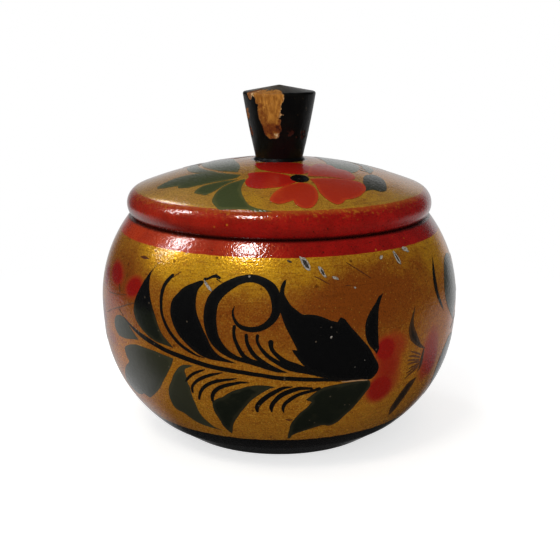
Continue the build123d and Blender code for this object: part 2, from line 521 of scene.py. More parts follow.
def red_lacquer(s, lit_share=1.0):
    """Red lacquer. Towards the front left it is painted lighter and more orange, as painted light from that
    side; the second argument says how much.
    """
    cloud = s.noise(6, 3, 0.6)
    streak = s.noise(1, 3, 0.6, s.stretch(0.05, 0.05, 1.6))
    color = s.mix(s.ramp(cloud, 0.35, 0.70), RED_DEEP, RED)
    color = s.over(color, RED_DEEP, streak, 0.55, 0.85, 0.5)
    color = s.over(color, RED_GRAIN, s.noise(0.8, 4, 0.75), 0.50, 0.30, 0.7)
    x, y, _ = s.split()
    # painted light: the red lighter and more orange towards the front left, where the light falls
    faded = s.times(s.ramp(x, -4, -40), s.ramp(y, 30, 5))
    color = s.mix(s.times(faded, s.ramp(cloud, 0.2, 0.7, 0.45 * lit_share, 0.9 * lit_share)), color, RED_PAINTED_LIT)
    color = s.flecks(color, 1.9, 0.10, 0.6, GOLD_OCHRE)
    return s.flecks(color, 1.4, 0.10, 0.8, SOOT)


def black_lacquer(s):
    color = s.mix(s.ramp(s.noise(4, 3, 0.6), 0.35, 0.75), BLACK, SOOT)
    return s.flecks(color, 1.7, 0.06, 0.35, DUST_AND_SHEEN)


def lacquer_wave(s):
    """The very slight unevenness of a brushed lacquer over turned wood."""
    slow = s.noise(1, 2, 0.5, s.stretch(0.05, 0.05, 0.32))
    return s.bump(slow, 0.035, s.bump(s.noise(0.85, 1, 0.6), 0.085))


def turning_rings(s):
    """Fine rings that the gouge left, 0.9 mm apart, as a height."""
    along = s.node("ShaderNodeCombineXYZ", {0: s.math("DIVIDE", s.layer("path_mm"), 0.9)})
    return s.noise(1, 3, 0.55, along.outputs[0])


def lacquered(s, color, grain, rings, gold, red, seam_shade):
    """What the bowl and the lid share: metallic where gold, a warm shine where red, a rippled clear coat."""
    # no warm shine on the red where the seam shade is painted
    warm = s.times(s.minus(red, seam_shade, clamp=True), 0.45)
    rough = s.ramp(grain, 0.3, 0.7, 0.36, 0.22)
    coat_rough = s.ramp(s.noise(2.5, 3, 0.6), 0.3, 0.8, 0.05, 0.10)
    base = s.bump(s.noise(0.7, 1, 0.6), 0.09, s.bump(rings, 0.03))
    coat = s.bump(rings, 0.010, lacquer_wave(s))
    metal = s.times(gold, 0.38)
    return s.finish(color, rough, metal, 1.0, coat_rough, base, coat, s.plus(warm, 0.1), WARM_SHINE)


def bowl_material(bottom_end, inside_from):
    """Places along the section: bottom_end is where the foot rests, inside_from where the mouth begins."""
    s = Shade("bowl_painted_lacquer")
    path = s.layer("path_mm")
    edge = s.plus(path, s.drift(0.5, 3.2))
    rings = turning_rings(s)
    color, grain = gold_ground(s, s.layer("yellow"), s.layer("brown"))
    petal = s.plus(s.layer("petal"), s.drift(0.22, 0.7, 3, 0.7))
    petal_mask = s.ramp(petal, 0.14, 0.56, 0.0, 0.98)
    color = s.mix(petal_mask, color, s.mix(s.ramp(petal, 0.48, 0.78), RED_ORANGE, PETAL_RED))
    above = s.ramp(edge, RED_BORDER - 0.12, RED_BORDER + 0.12)
    red = s.times(above, s.ramp(path, inside_from, inside_from - 1))
    color = s.mix(red, color, red_lacquer(s))
    inner = s.flecks(inside_gold(s, rings), 3.4, 0.2, 0.7, GOLD_BROWN)
    color = s.over(color, inner, path, inside_from - 0.6, inside_from + 0.4)
    # painted shade in the groove on the bowl's shoulder, under the lid's bead
    seam_shade = s.times(s.ramp(edge, 29.5, 30.5, 0.0, 0.85), s.ramp(edge, 31.9, 30.9))
    color = s.mix(seam_shade, color, SEAM_SHADE)
    foot = s.ramp(edge, FOOT_BORDER + 0.25, FOOT_BORDER - 0.25)
    color = s.mix(foot, color, black_lacquer(s))
    worse_below = s.ramp(path, bottom_end + 1.2, bottom_end - 1, 0.0, 0.25)
    scuff = s.ramp(s.plus(s.noise(1.3, 4, 0.7), worse_below), 0.74, 0.82)
    wood = s.mix(s.noise(1, 3, 0.6, s.stretch(0.3, 3, 3)), FOOT_WOOD_DARK, FOOT_WOOD)
    color = s.mix(s.times(scuff, foot), color, wood)
    gold = s.minus(1.0, s.most(s.most(red, foot), petal_mask))
    return lacquered(s, color, grain, rings, gold, red, seam_shade)


def lid_material(border, seat_from, under_to):
    """Places along the section: the gold's border, the knob's seat, and the corner behind the spigot."""
    s = Shade("lid_painted_lacquer")
    path = s.layer("path_mm")
    x, _, z = s.split()
    ragged = s.drift(0.6, 3.2)
    edge = s.plus(path, ragged)
    rings = turning_rings(s)
    color, grain = gold_ground(s, 0.62, 0.24)
    # painted reflection: the gold paler towards the lid's left and right edges, as a pale haze mirrored
    # there
    painted_haze = s.most(s.ramp(x, -6, -36, 0.10, 0.50), s.ramp(x, 22, 44, 0.10, 0.50))
    color = s.mix(painted_haze, color, GOLD_PAINTED_HAZE)
    bead = s.over(red_lacquer(s, 0.35), RED_THIN, edge, border - 2.4, border - 0.3, 0.6)
    # painted shade: the bead's lower half darker, more towards the left
    painted_bead_shade = s.times(s.ramp(z, BEAD_FOOT_Z + 4.8, BEAD_FOOT_Z + 1.9), s.ramp(x, 4, -30, 0.05, 0.62))
    bead = s.mix(painted_bead_shade, bead, RED_PAINTED_SHADE)
    near_gold = s.ramp(edge, border - 4.6, border - 0.2, 0.0, 0.7)
    rubbed = s.times(s.ramp(s.noise(1.2, 4, 0.75), 0.53, 0.64), near_gold)
    top = s.ramp(edge, border - 0.15, border + 0.15)
    color = s.mix(top, s.mix(rubbed, bead, GOLD_OCHRE), color)
    color = s.over(color, SOOT, edge, seat_from - 0.35, seat_from + 0.15)
    below = s.ramp(path, under_to + 0.5, under_to - 0.5)
    color = s.mix(below, color, inside_gold(s, rings))
    gold = s.most(top, below)
    red = s.minus(1.0, gold)
    # painted shade on the foot of the red bead, where it sits on the bowl
    height = s.plus(z, s.times(ragged, 0.6))
    seam_shade = s.times(s.ramp(height, BEAD_FOOT_Z + 1.5, BEAD_FOOT_Z + 0.4, 0.0, 0.9), red)
    color = s.mix(seam_shade, color, SEAM_SHADE)
    return lacquered(s, color, grain, rings, gold, red, seam_shade)


def knob_material():
    """Black lacquer, lost where the layer bare is high. The layers stain and pale are for the wood."""
    s = Shade("knob_worn_black_lacquer")
    stained = s.layer("stain")
    ragged = s.drift(0.9, 0.9, 4, 0.7)
    bare = s.plus(s.layer("bare"), ragged)
    worn = s.ramp(bare, 0.42, 0.58)
    fibre = s.noise(1, 4, 0.65, s.stretch(1.1, 1.1, 0.22))
    streak = s.noise(1, 3, 0.6, s.stretch(3.0, 3.0, 0.4))
    wood = s.mix(s.ramp(fibre, 0.30, 0.72), WOOD_DEEP, WOOD_LIGHT)
    wood = s.over(wood, WOOD_STREAK, streak, 0.62, 0.80, 0.3)
    wood = s.over(wood, WOOD_PALE, s.plus(s.layer("pale"), ragged), 0.45, 0.85)
    dirt = s.plus(stained, s.drift(2.4, 1.2, 4, 0.75))
    wood = s.over(wood, STAIN_AMBER, dirt, 0.10, 0.50, 0.80)
    wood = s.over(wood, STAIN_BROWN, dirt, 0.52, 0.85, 0.85)
    wood = s.over(wood, STAIN_BLACK, dirt, 0.95, 1.25)
    rim = s.times(s.ramp(bare, 0.42, 0.52), s.ramp(bare, 0.72, 0.60))
    clean = s.minus(0.30, s.times(stained, 0.30), clamp=True)
    wood = s.mix(s.times(rim, clean), wood, WOOD_RIM)
    x, _, z = s.split()
    # dust on the top face, with a painted reflection of the window that makes it lighter towards the left
    top_dust_and_sheen = s.times(s.ramp(z, 112.9, 113.4), s.ramp(x, 6, -7, 0.10, 0.55))  # only on the top face
    color = s.mix(worn, s.mix(top_dust_and_sheen, black_lacquer(s), DUST_AND_SHEEN), wood)
    coat = s.times(s.ramp(worn, 0, 1, 1.0, 0.25), 0.18)
    base = s.bump(fibre, 0.10, s.bump(s.noise(0.6, 3, 0.6), 0.05))
    lacquer = s.bump(s.noise(2.2, 3, 0.6), 0.09, s.bump(worn, -0.12))
    rough = s.ramp(worn, 0, 1, 0.35, 0.55)
    return s.finish(color, rough, 0.0, coat, s.ramp(worn, 0, 1, 0.16, 0.35), base, lacquer)


def paint(name, shallow, deep, patchy=3.0, black_above=None):
    """A brushed colour: deep where it pooled in the stroke, shallow at its edge. patchy is in mm.

    Above the height black_above, in mm, it runs to black."""
    s = Shade(name)
    pool = s.plus(s.ramp(s.layer("edge_mm"), 0.0, 1.6), s.drift(1.6, patchy))
    color = s.mix(s.ramp(pool, 0.2, 1.0), shallow, deep)
    color = s.over(color, deep, s.noise(0.5, 3, 0.7), 0.60, 0.80, 0.5)
    if black_above:
        height = s.plus(s.split()[2], s.times(s.noise(2.0, 3, 0.6), 4.0))
        color = s.over(color, BLACK, height, black_above, black_above + 5.0)
    color = s.flecks(color, 1.5, 0.05, 0.45, DUST_AND_SHEEN)
    rough = s.ramp(s.noise(1.2, 2, 0.5), 0.3, 0.7, 0.30, 0.42)
    return s.finish(color, rough, 0.0, 1.0, 0.07, s.bump(s.noise(0.8, 3, 0.6), 0.01), lacquer_wave(s))


def chip_material(name, light, dark):
    """What shows where the paint is broken off."""
    s = Shade(name)
    color = s.mix(s.ramp(s.noise(0.45, 4, 0.7), 0.38, 0.62), dark, light)
    return s.finish(color, 0.8, 0.0, 0.25, 0.4, s.bump(s.noise(0.3, 3, 0.6), 0.04))


# ---- the drawing, front of the bowl, (round, up) mm
STEM = (
    (-56, 1.2, .3), (-50, -1.2, 1), (-45, -2.8, 1.5), (-40, -4.1, 1.5), (-35, -5.3, 1.4),
    (-30, -6.15, 1.55), (-25, -7.1, 1.5), (-20, -7.9, 1.4), (-15, -8.4, 1.4), (-10, -8.9, 1.3),
    (-5, -9.55, 1.25), (0, -10.3, 1.35), (5, -10.7, 1.35), (10, -11.1, 1.3), (15, -11.6, .95),
    (18.5, -12.4, .3),
)
LEAF_TOP_LEFT = (
    (-42.3, 20.9, 1), (-45.2, 17.2), (-46.6, 15), (-48, 12.3), (-49.2, 9.8), (-50, 7.5), (-50.2, 5.2),
    (-49.6, 3.2), (-48.3, 1.4), (-46.5, 0), (-44.5, -1.2), (-42, -2.4), (-39.5, -3.1), (-36.5, -3.4),
    (-33, -3.8, 1), (-34.8, -2.2), (-37.3, 0), (-40.1, 5), (-42.8, 10), (-44.5, 15), (-44.4, 17.5),
)
RIB = (
    (-35.3, 17.8, 1), (-36.4, 16.5, 1.2), (-37.5, 14.9, 1.3), (-38.05, 13.1, 1.3), (-38.2, 11.3, 1.25),
    (-38.05, 9.3, 1.1), (-37.5, 6.5, 1), (-36.35, 4, 1), (-34.8, 1.7, 1.1), (-32.7, -.5, 1.1),
    (-30.5, -2.3, 1), (-27.3, -3.9, .9), (-24.8, -4.9, .5), (-22.5, -5.4, .2),
)
LEAF_TOP_MID = (
    (-24, 17.5), (-27.1, 16.5), (-30, 15), (-32, 13.1), (-33.9, 10.6), (-34.2, 8.1), (-33.9, 5.9),
    (-32.7, 3.1), (-30.9, .6), (-28.9, -1.2), (-26.6, -3), (-23.9, -4.6), (-20.7, -5.55), (-17.5, -5.8),
    (-14.05, -6.1), (-12.45, -6.15, 1), (-14.05, -5.55), (-16.4, -4.7), (-18.5, -3.5), (-20.2, -1.4),
    (-21.1, .5), (-22.4, 2.9), (-23.4, 4.8), (-24.7, 7.4), (-25.4, 10.1), (-25.5, 12.9), (-25.1, 14.8),
    (-24.1, 16.1), (-23.65, 17),
)
HOOK = ((-23.5, 17.9, .9), (-22.4, 18.2, .7), (-21.1, 18.9, .8), (-19.8, 19.1, 1), (-18.6, 18.7, .8))
HOOK_TAIL = ((-19.6, 18.3, .3), (-18.8, 18, .3), (-18.1, 17.5, .2))
SCROLL = (
    (2.3, -8.6, .1), (0, -8, 1.1), (-3, -6.9, 1.8), (-6, -5.9, 1.8), (-9, -5.1, 1.7), (-12.1, -4.6, 1.4),
    (-15.1, -3.2, 2), (-17.6, -1.2, 2.8), (-19.3, 1.2, 3.4), (-20.3, 4.5, 3.9), (-20.6, 8.3, 4.1),
    (-19.9, 12, 3.9), (-17.5, 15.1, 3.5), (-14.55, 17.2, 2.9), (-11.3, 18.65, 2.4), (-8, 19.05, 2.3),
    (-4.6, 18.1, 2.5), (-2.1, 16, 3.1), (-.9, 12.8, 3), (-1, 9.4, 2.5), (-2.3, 7, 2.1), (-5, 5, 1.7),
    (-8.3, 4.35, 1.5), (-11.4, 5.2, 1.2), (-13, 6.9, .85), (-13.6, 9, .6), (-13.2, 10.8, .2),
)
COMMAS = (
    ((-13, 5, 1), (-13.2, 3.5, .9), (-13, 1.6, 1), (-12.35, -.1, 1.1), (-11.5, -1.8, 1.2),
     (-10.4, -3.5, 1.3), (-8.9, -4.6, 1.2), (-6.8, -5.7, .8)),
    ((-9.45, 2.6, 1), (-9.35, .75, 1), (-8.7, -1, 1.2), (-7.65, -2.7, 1.3), (-6.15, -4.2, 1.2),
     (-4.45, -5.4, 1.1), (-2.5, -6.5, .8)),
    ((-6.2, 2.6, 1), (-6.3, 1, .8), (-5.5, -.75, .9), (-4.45, -2.25, 1.1), (-2.6, -4, 1.2), (.1, -5.7, 1.4),
     (2.8, -7.1, 1.5), (5.5, -7.9, 1.4), (8.1, -8.7, 1)),
    ((-2.4, .7, 1.6), (-2.3, -.9, 1.2), (-1.5, -2.3, 1.2), (.1, -3.9, 1.3), (2.3, -5.5, 1.6),
     (4.7, -6.5, 1.8), (7.3, -7.9, 2), (10, -8.9, 1.6), (12.7, -10, 1.2), (14.8, -10.7, .6)),
)
LEAF_BIG = (
    (2, 18.9, 1), (1.2, 18.3), (.5, 16.9), (.1, 15.3), (.3, 10), (.7, 8.4), (1.5, 6), (2.8, 3.3), (4.1, .7),
    (5.2, -1.7, 1), (3.7, -1.5, 1), (4, -2.3), (5.5, -4.4), (7.1, -6.5), (10, -8.9), (12.7, -10),
    (14.3, -10.9), (16.7, -11.65), (19.3, -12.4), (22.8, -12.7), (25.5, -12.7), (28.4, -13.2),
    (29.5, -12.7), (30.8, -11.1), (31.2, -9.7), (30.7, -8.1), (29.5, -6.3), (28.7, -4.9), (27.3, -2.8),
    (26, -1.2), (24.7, .3), (22.8, 2.5), (20.9, 4.7), (19.9, 6), (19.1, 6.9), (18.1, 7.3, 1), (17.7, 6.8),
    (17.2, 6, 1), (15.3, 6.5), (13.7, 7.3), (11.3, 8.3), (8.9, 8.7), (6.8, 8.8), (5.2, 10), (3.6, 11.3),
    (2.3, 13.2), (1.5, 14.8), (1.6, 16.4), (2.1, 18),
)
LEAF_HORN = (
    (33.3, 12.8, 1), (31.3, 11.9), (30, 10.3), (28.4, 8.7), (26.8, 6.5), (26, 4.4), (25.9, 2.3), (26.3, .1),
    (27.3, -2), (28.7, -3.6), (30, -5.2, 1), (30.8, -3.6), (30.5, -1.5), (30.4, .7), (30.3, 3.3), (30.5, 6),
    (30.9, 8.7), (31.9, 10.8), (32.8, 12.3),
)
LEAF_LOW_LEFT = (
    (-33.3, -7.3, 1), (-36.3, -6.8), (-41.5, -6.2), (-45.1, -6.1), (-49.7, -6.2), (-53.8, -7.3),
    (-56.9, -9.1), (-56.6, -11.6, 1), (-55.5, -13.3), (-58.5, -15.6), (-62.5, -19.5), (-65.5, -24, 1),
    (-61, -26.8), (-56, -26.2), (-53, -24.8, 1), (-50, -25.5), (-48.1, -24.5), (-45.1, -22.4),
    (-41.5, -19.3), (-38.4, -15.5), (-36.3, -12.7), (-34.3, -9.6),
)
LEAF_SMALL = (
    (-56.6, 1.3), (-60.2, .9), (-62.7, -.9), (-63, -3.4), (-60.7, -5.5), (-56.1, -5.7), (-52, -5),
    (-47.9, -4.2, 1), (-50.9, -2.1), (-54, .2),
)
LEAF_LOW_MID = (
    (-26.3, -8.4, 1), (-28.05, -8.4), (-30, -8.7), (-31.5, -9.65), (-32.5, -10.8), (-33.8, -12.5),
    (-35, -14.7), (-36.4, -16.8), (-37.4, -18.9), (-37.9, -21.1), (-38, -23.2), (-37.9, -24.9),
    (-37.2, -26.3), (-36, -27), (-34.5, -27.3), (-33.6, -27.9), (-32.1, -29.4), (-30.4, -30.7),
    (-28.05, -31.7), (-25.1, -32.4), (-21.9, -32.9), (-20.2, -32.8, 1), (-22.9, -32.2), (-24.2, -30.9),
    (-25.5, -29.2), (-26.8, -27), (-27.4, -24.9), (-27.7, -22.1), (-28.05, -20.2), (-28.3, -18.1),
    (-28.4, -15.9), (-28.9, -14.7), (-29.1, -12.5), (-29.5, -10.2), (-28.05, -9.3),
)
HATCHES = (
    ((-22.5, -9.1, .2), (-24.2, -9.8, .7), (-25.9, -10.6, .9), (-27.6, -11.9, .9), (-28.9, -13.2, .8),
     (-29.5, -14, .6)),
    ((-16.95, -9.4, .2), (-19.5, -10.2, .8), (-21.7, -11, 1), (-23.8, -12.1, 1.1), (-25.5, -13.2, 1),
     (-26.8, -14.5, .9), (-27.6, -15.9, .9), (-27.7, -17.65, .7)),
    ((-12.7, -10.9, .2), (-14, -11.25, .6), (-16.5, -11.8, .9), (-19.1, -12.5, 1.1), (-21.4, -13.6, 1.1),
     (-23.4, -15.1, 1.1), (-24.6, -16.6, 1), (-25.4, -18.3, .9), (-25.8, -19.8, .8)),
    ((-8.8, -12.1, .2), (-11.6, -12.2, .8), (-13.7, -12.75, 1), (-16, -13.5, 1.2), (-18.7, -14.9, 1.3),
     (-20.2, -16.4, 1.3), (-21, -18.1, 1.2), (-21.2, -19.6, 1)),
    ((3.8, -13.2, .3), (1.2, -13.6, 1), (-.9, -14.7, 1.3), (-3.1, -16.2, 1.5), (-4.8, -17.65, 1.6),
     (-6.05, -19.15, 1.6), (-6.9, -20.6, 1.4), (-6.9, -22.3, .9)),
    ((9.7, -14, .8), (7.6, -13.9, 1), (5.5, -14, 1.3), (3.35, -14.7, 1.5), (1.2, -15.7, 1.6),
     (-.5, -17.2, 1.5), (-1.8, -18.9, 1.4), (-2.5, -20.6, 1.3), (-2.3, -22.3, .5)),
    ((12, -14.2, 1), (9.7, -14.9, 1), (7.2, -15.5, 1.1), (5.05, -16.4, 1.2), (3.35, -17.65, 1.3),
     (1.85, -19.15, 1.2), (1.2, -20.9, 1), (1.4, -22.6, .4)),
)
LEAF_LOW = (
    (-1.1, -13.3, 1), (-3.1, -12.85), (-5.2, -12.75), (-7.3, -12.85), (-9.5, -13.4), (-11.6, -14.2),
    (-13.7, -15.1), (-15.9, -16.4), (-17.4, -17.65), (-19.5, -18.7), (-20.4, -19.4), (-21.4, -20.2, 1),
    (-21.5, -21.7), (-21.4, -23.2), (-21.1, -24.9), (-20.5, -26.6), (-20.05, -28.5), (-19.7, -30.2),
    (-19, -31.9), (-18, -33.4), (-17.4, -34.3, 1), (-17, -33.4), (-16.5, -31.7), (-15.9, -29.6),
    (-15, -27.5), (-13.7, -25.5), (-12.45, -23.4), (-11.2, -21.7), (-9.9, -20), (-8.6, -18.3),
    (-6.7, -16.6), (-4.8, -15.1), (-2.6, -13.8),
)
LEAF_LOW_RIGHT = (
    (8.15, -17.8, 1), (8.7, -18.4), (9.5, -18.6), (10, -18.9, 1), (8.5, -21.1), (6.8, -22.8), (5.7, -24.3),
    (5.05, -25.3), (4.2, -27), (3.7, -28.5), (3.5, -30.7), (3.2, -32.8), (3, -35.6, 1), (4.1, -35.6, 1),
    (4.6, -33.9), (5.9, -32.8), (7.6, -31.95), (10, -30.9), (14.2, -29.3, 1), (15.3, -29.3), (17.3, -29.9),
    (19.9, -28.6), (21.9, -26), (24, -23.4), (26, -20.4), (27.6, -17.8), (28.9, -15.7), (28.6, -13.9),
    (27.6, -13.2), (23.5, -13.1), (19.4, -13.2), (15.3, -13.6), (12.7, -14.2), (10.6, -15.7), (8.6, -17.5),
)
STAMENS = (
    ((43.9, -7.1, .3), (46.1, -8, .6), (48.8, -9.2, .6)),
    ((43.3, -8.6, .3), (45.6, -9, .6), (48.6, -10.1, .6)),
    ((43, -9.8, .3), (45.5, -10.3, .6), (48.6, -11, .6)),
    ((43.3, -11.2, .3), (45.7, -11.2, .6), (49, -11.8, .6)),
    ((44.1, -12.9, .3), (46.4, -12.6, .6), (49.4, -12.5, .6)),
    ((43.5, -14.4, .3), (45.7, -13.6, .6), (48.6, -12.9, .6)),
    ((43.2, -16.1, .3), (45.2, -14.9, .6), (48.6, -13.5, .6)),
)
FLOWER_EYE = (
    (50.6, -7.6, .4), (50.3, -9.5, 1.1), (50.1, -11.6, 1.4), (49.9, -13.4, 1.2), (49.3, -15.2, .3),
)
CRESCENT = (
    (45.4, 6.6, .2), (44.2, 3.8, .9), (43.6, .9, 2.2), (44.4, -1.8, 3.1), (46.2, -4.2, 2.4),
    (48.4, -6.2, 1.2), (51, -7.6, .2),
)
LEAF_FAR_LOW = (
    (49.6, -17.2, 1), (45.6, -18.3), (43.6, -20.9), (42.2, -23.8), (41.5, -27.8), (43.2, -31.6, 1),
    (44.6, -29.4), (45.4, -26.8), (46.9, -23.4), (48.3, -20.2),
)
TWIGS = (
    ((-71.2, -1, .15), (-64.4, 1.8, .3), (-59, 3.7, .35), (-54.4, 5.4, .3), (-50.1, 7, .15)),
    ((-69, 6.4, .15), (-61.4, 7.3, .3), (-55.1, 8.5, .15)),
    ((-59.8, 3.5, .2), (-58.5, 2.7, .3), (-56.1, 1.6, .15)),
    ((-60.6, 10.6, .4), (-59.8, 9.2, .3), (-59.6, 8.4, .15)),
)
LEAF_FAR_TOP = (
    (61.6, 19.4, 1), (59.5, 17.1), (57.7, 14), (57.2, 10.4), (58, 7.4), (60, 4.3), (62.6, 1.7, 1),
    (61, 4.8), (59.5, 7.9), (59.2, 11.5), (59.8, 15.1), (61, 18.1),
)
LEAF_SIDE = (
    (82, 16, 1), (77, 17.6), (71, 16.6), (66.5, 12.5), (64.4, 7.5), (65.8, 3), (70, -1.2), (74.5, -4.2, 1),
    (76.5, -.5), (80.2, 2.6), (81.3, 5, 1), (80.6, 7.2), (83, 10), (83.6, 13, 1), (81.6, 14),
)
LEAF_SIDE_LOW = (
    (70, -9, 1), (66.2, -12), (63.8, -16.5), (64.6, -21.5), (67, -26), (68.6, -31, 1), (71.2, -28),
    (75, -26), (76.6, -24.6, 1), (79.6, -24.8), (83.5, -22), (85, -18), (84, -13.8), (80, -10.6), (75, -9),
)
GRASS = (
    ((86, -12.5, .3), (88.6, -14.6, 1), (90.4, -17.6, 1.3), (91, -21, 1.3), (90.4, -24.4, .8)),
    ((90, -11.2, .3), (92.8, -13.2, 1), (94.8, -16.2, 1.4), (95.8, -19.6, 1.4), (95.6, -23, .8)),
    ((94.4, -9.6, .3), (97.2, -11.6, 1), (99.4, -14.4, 1.4), (100.7, -17.8, 1.4), (100.8, -21, .8)),
    ((86, 2.6, .3), (89, 5, 1.2), (90.6, 8.4, 1.5), (90.4, 12, 1.2), (88.6, 14.8, .5)),
    ((91, .8, .3), (94.4, 3.4, 1.2), (96.2, 7, 1.5), (96, 10.8, 1.2), (94.2, 13.8, .5)),
    ((72, -6.6, .4), (78, -5.2, 1.2), (85, -4.6, 1.4), (92, -5, 1.3), (99, -6.6, 1.1), (105, -9.4, .7),
     (109, -12.6, .2)),
)
# the gold ground between two leaves, painted as a pale highlight line
HIGHLIGHT_SLIVER = ((19, -12.6, .25), (23, -12.8, .4), (27.5, -13.2, .25))
# soft petals dabbed on before the brushwork: (round, up, half width, half height, lean in degrees, strength)
PETALS = (
    (-51.7, 11.6, 4.5, 3.1, 24, 1), (-64.6, 13.4, 5.4, 3.4, -14, 1), (-59.4, 6.1, 5.0, 2.6, 8, .36),
    (-67.5, 4.5, 7.5, 7.0, 0, .42), (-75, 10.5, 4.0, 3.4, -35, .8), (-77.5, -2.5, 5.0, 4.2, 25, .9),
    (-67.5, -8.4, 5.6, 3.0, 5, .45), (36.4, -3.8, 6.4, 5.0, -10, .54), (33.4, -4.3, 3.8, 3.9, 0, 1),
    (34.6, -9.8, 5.6, 8.0, -6, .66), (35.4, -15.0, 6.4, 7.0, -15, .50), (33.0, -17.2, 4.9, 4.8, -10, 1),
    (54.8, -10.8, 5.4, 9.2, -8, .70), (57, -13, 3.4, 5.6, 0, .9),
)
# browner areas of the gold: (strength, round, up, half width, half height); the one at round -60 is painted
# shade on the far left
BROWN_CLOUDS = ((.75, 24, 11, 15, 7), (.55, -10, 6, 34, 11), (.8, -60, 13, 13, 10), (.3, -40, -2, 26, 9),
                (.45, 45, 4, 26, 16), (.4, 42, 20, 26, 8))
BROWN_MARKS = (
    ((-52.2, 21.1, .3), (-50, 21.2, .9), (-47.6, 21.2, .3)),
    ((2.2, -25.6, .3), (3.2, -25.9, .6), (4.2, -25.8, .3)),
    ((-35, 17.2, .2), (-33.6, 18.4, .25), (-32.5, 19.2, .2)), ((20.5, 16.3, .2), (22, 16.2, .3)),
    ((22, 23, .2), (25.5, 20.6, .3), (29.5, 17.7, .2)), ((11, 19.5, .2), (13.2, 18.4, .3), (15.5, 17, .2)),
    ((150, 19, .2), (154, 17.6, .5), (157, 17.4, .2)), ((-120, -22, .2), (-117, -23.6, .4), (-115, -26, .2)),
    ((196, 12, .2), (199, 10.4, .4), (201, 8, .2)),
)
# chips in the paint: (round, up, half width, half height, lean in degrees, seed)
CHIPS_PALE = (
    (8.4, 23.4, 2.6, 1.0, -58, 1), (13.4, 20.8, 2.1, .55, -62, 2), (42, 22.4, 2.6, .7, -72, 3),
    (47.2, 24.3, 1.5, .8, -30, 4), (35.4, 23.3, .9, .45, 40, 5), (17.6, 18.7, 1.2, .35, -24, 6),
    (23.5, 15.5, .35, .3, 0, 7), (15.1, 1.7, .45, .28, 50, 8), (22.8, -8.3, .12, .11, 0, 9),
    (26, -6.5, .11, .10, 0, 10), (-22.2, 16.1, 2.1, .45, -44, 11), (-9.2, 19.6, .35, .3, 0, 12),
    (130, 24, 1.6, .7, -40, 13), (-140, 20, 1.2, .6, 30, 14), (170, -12, .8, .5, 10, 15),
)
CHIPS_DARK = (
    (8.5, 23.3, 1.7, .5, -58, 21), (13.5, 20.7, 1.2, .25, -62, 22), (42, 22.3, 1.5, .3, -72, 23),
    (3.2, 24.2, .8, .3, -20, 24), (130, 24, .8, .3, -40, 25),
)

# ---- the drawing on the lid, (across, back) mm
LID_LEAF_LONG = (
    (-10.9, -26.6, 1), (-15.6, -29.4), (-18.4, -33), (-19.9, -39.4), (-18.8, -43), (-17.4, -45.1),
    (-15.6, -45.5), (-14.1, -45.9), (-9.9, -46.6), (-6.3, -48), (-2, -48.2, 1), (-6.3, -46.6),
    (-8.8, -44.4), (-10.2, -40.9), (-11.3, -35.9), (-11.3, -31.6), (-10.4, -26.9),
)
LID_LEAF_SHORT = (
    (-25.9, -31.9, 1), (-25.2, -29.4), (-23.4, -27.6), (-20.6, -26.9), (-16.3, -26.2), (-12.7, -26.2, 1),
    (-16.3, -29.4), (-18.4, -31.9), (-20.6, -34.1), (-22.4, -35.1), (-23.4, -34.1), (-24.9, -33),
)
LID_LEAF_FEATHER = (
    (-38.8, -17.3, 1), (-35.6, -14.1), (-32.7, -12.6), (-27, -13), (-22, -15.1), (-16.3, -19.4),
    (-12, -22.3, 1), (-13.4, -24.8), (-21.3, -26.2), (-28.4, -26.6, 1), (-31.3, -24.8), (-31.6, -22.6, 1),
    (-36.3, -20.9), (-38.4, -19.4),
)
LID_LEAF_BEHIND = (
    (-13, -19, 1), (-18, -16), (-22.4, -10), (-25.5, -2), (-26, 6), (-24.2, 13), (-20, 19.5, 1),
    (-18.2, 14), (-15.2, 10.4, 1), (-15.4, 4), (-14, -4), (-12.6, -12),
)
LID_LEAF_THIN = (
    (-18.4, -19.4, 1), (-23, -14.6), (-27.2, -11.4), (-30, -5), (-30.8, 3), (-29.2, 11, 1), (-27.4, 4),
    (-26.7, -2.4), (-23.5, -10.6), (-20.4, -15.2),
)
LID_LEAF_RIGHT = (
    (24.8, -32.3, 1), (26.6, -28.7), (26.2, -23), (26.9, -16.6), (28, -13.7), (30.5, -11), (33, -13.7),
    (33.7, -18), (33, -25.9), (31.6, -27.6), (28.7, -28),
)
LID_DASHES = (
    ((26.6, -3, .3), (28, -4.6, .9), (29.6, -6, .3)),
    ((25.4, -6, .3), (27.4, -8, 1), (30, -9.4, .3)),
)
LID_EYE = (
    (3.4, -26.8), (4.2, -28.9), (6.3, -30), (8.5, -29), (9.2, -26.8), (8.4, -24.5), (6.3, -23.6),
    (4.2, -24.6),
)
LID_PETALS_DEEP = (
    ((-9.6, -21.6), (-3, -21.2), (1.6, -23.6), (4.4, -26.4), (5.4, -29.4), (3.4, -31.6), (.6, -33.8),
     (-3, -34.6), (-6.6, -34.6), (-9.4, -32.8), (-10.4, -28.6), (-9.4, -25)),
    ((-8, -9.6), (-7.6, -13), (-6.2, -17.6), (-2.6, -20.6), (3, -22.8), (7.6, -22.4), (10, -18.4),
     (9.6, -12.6), (6, -9.6), (-1, -9)),
)
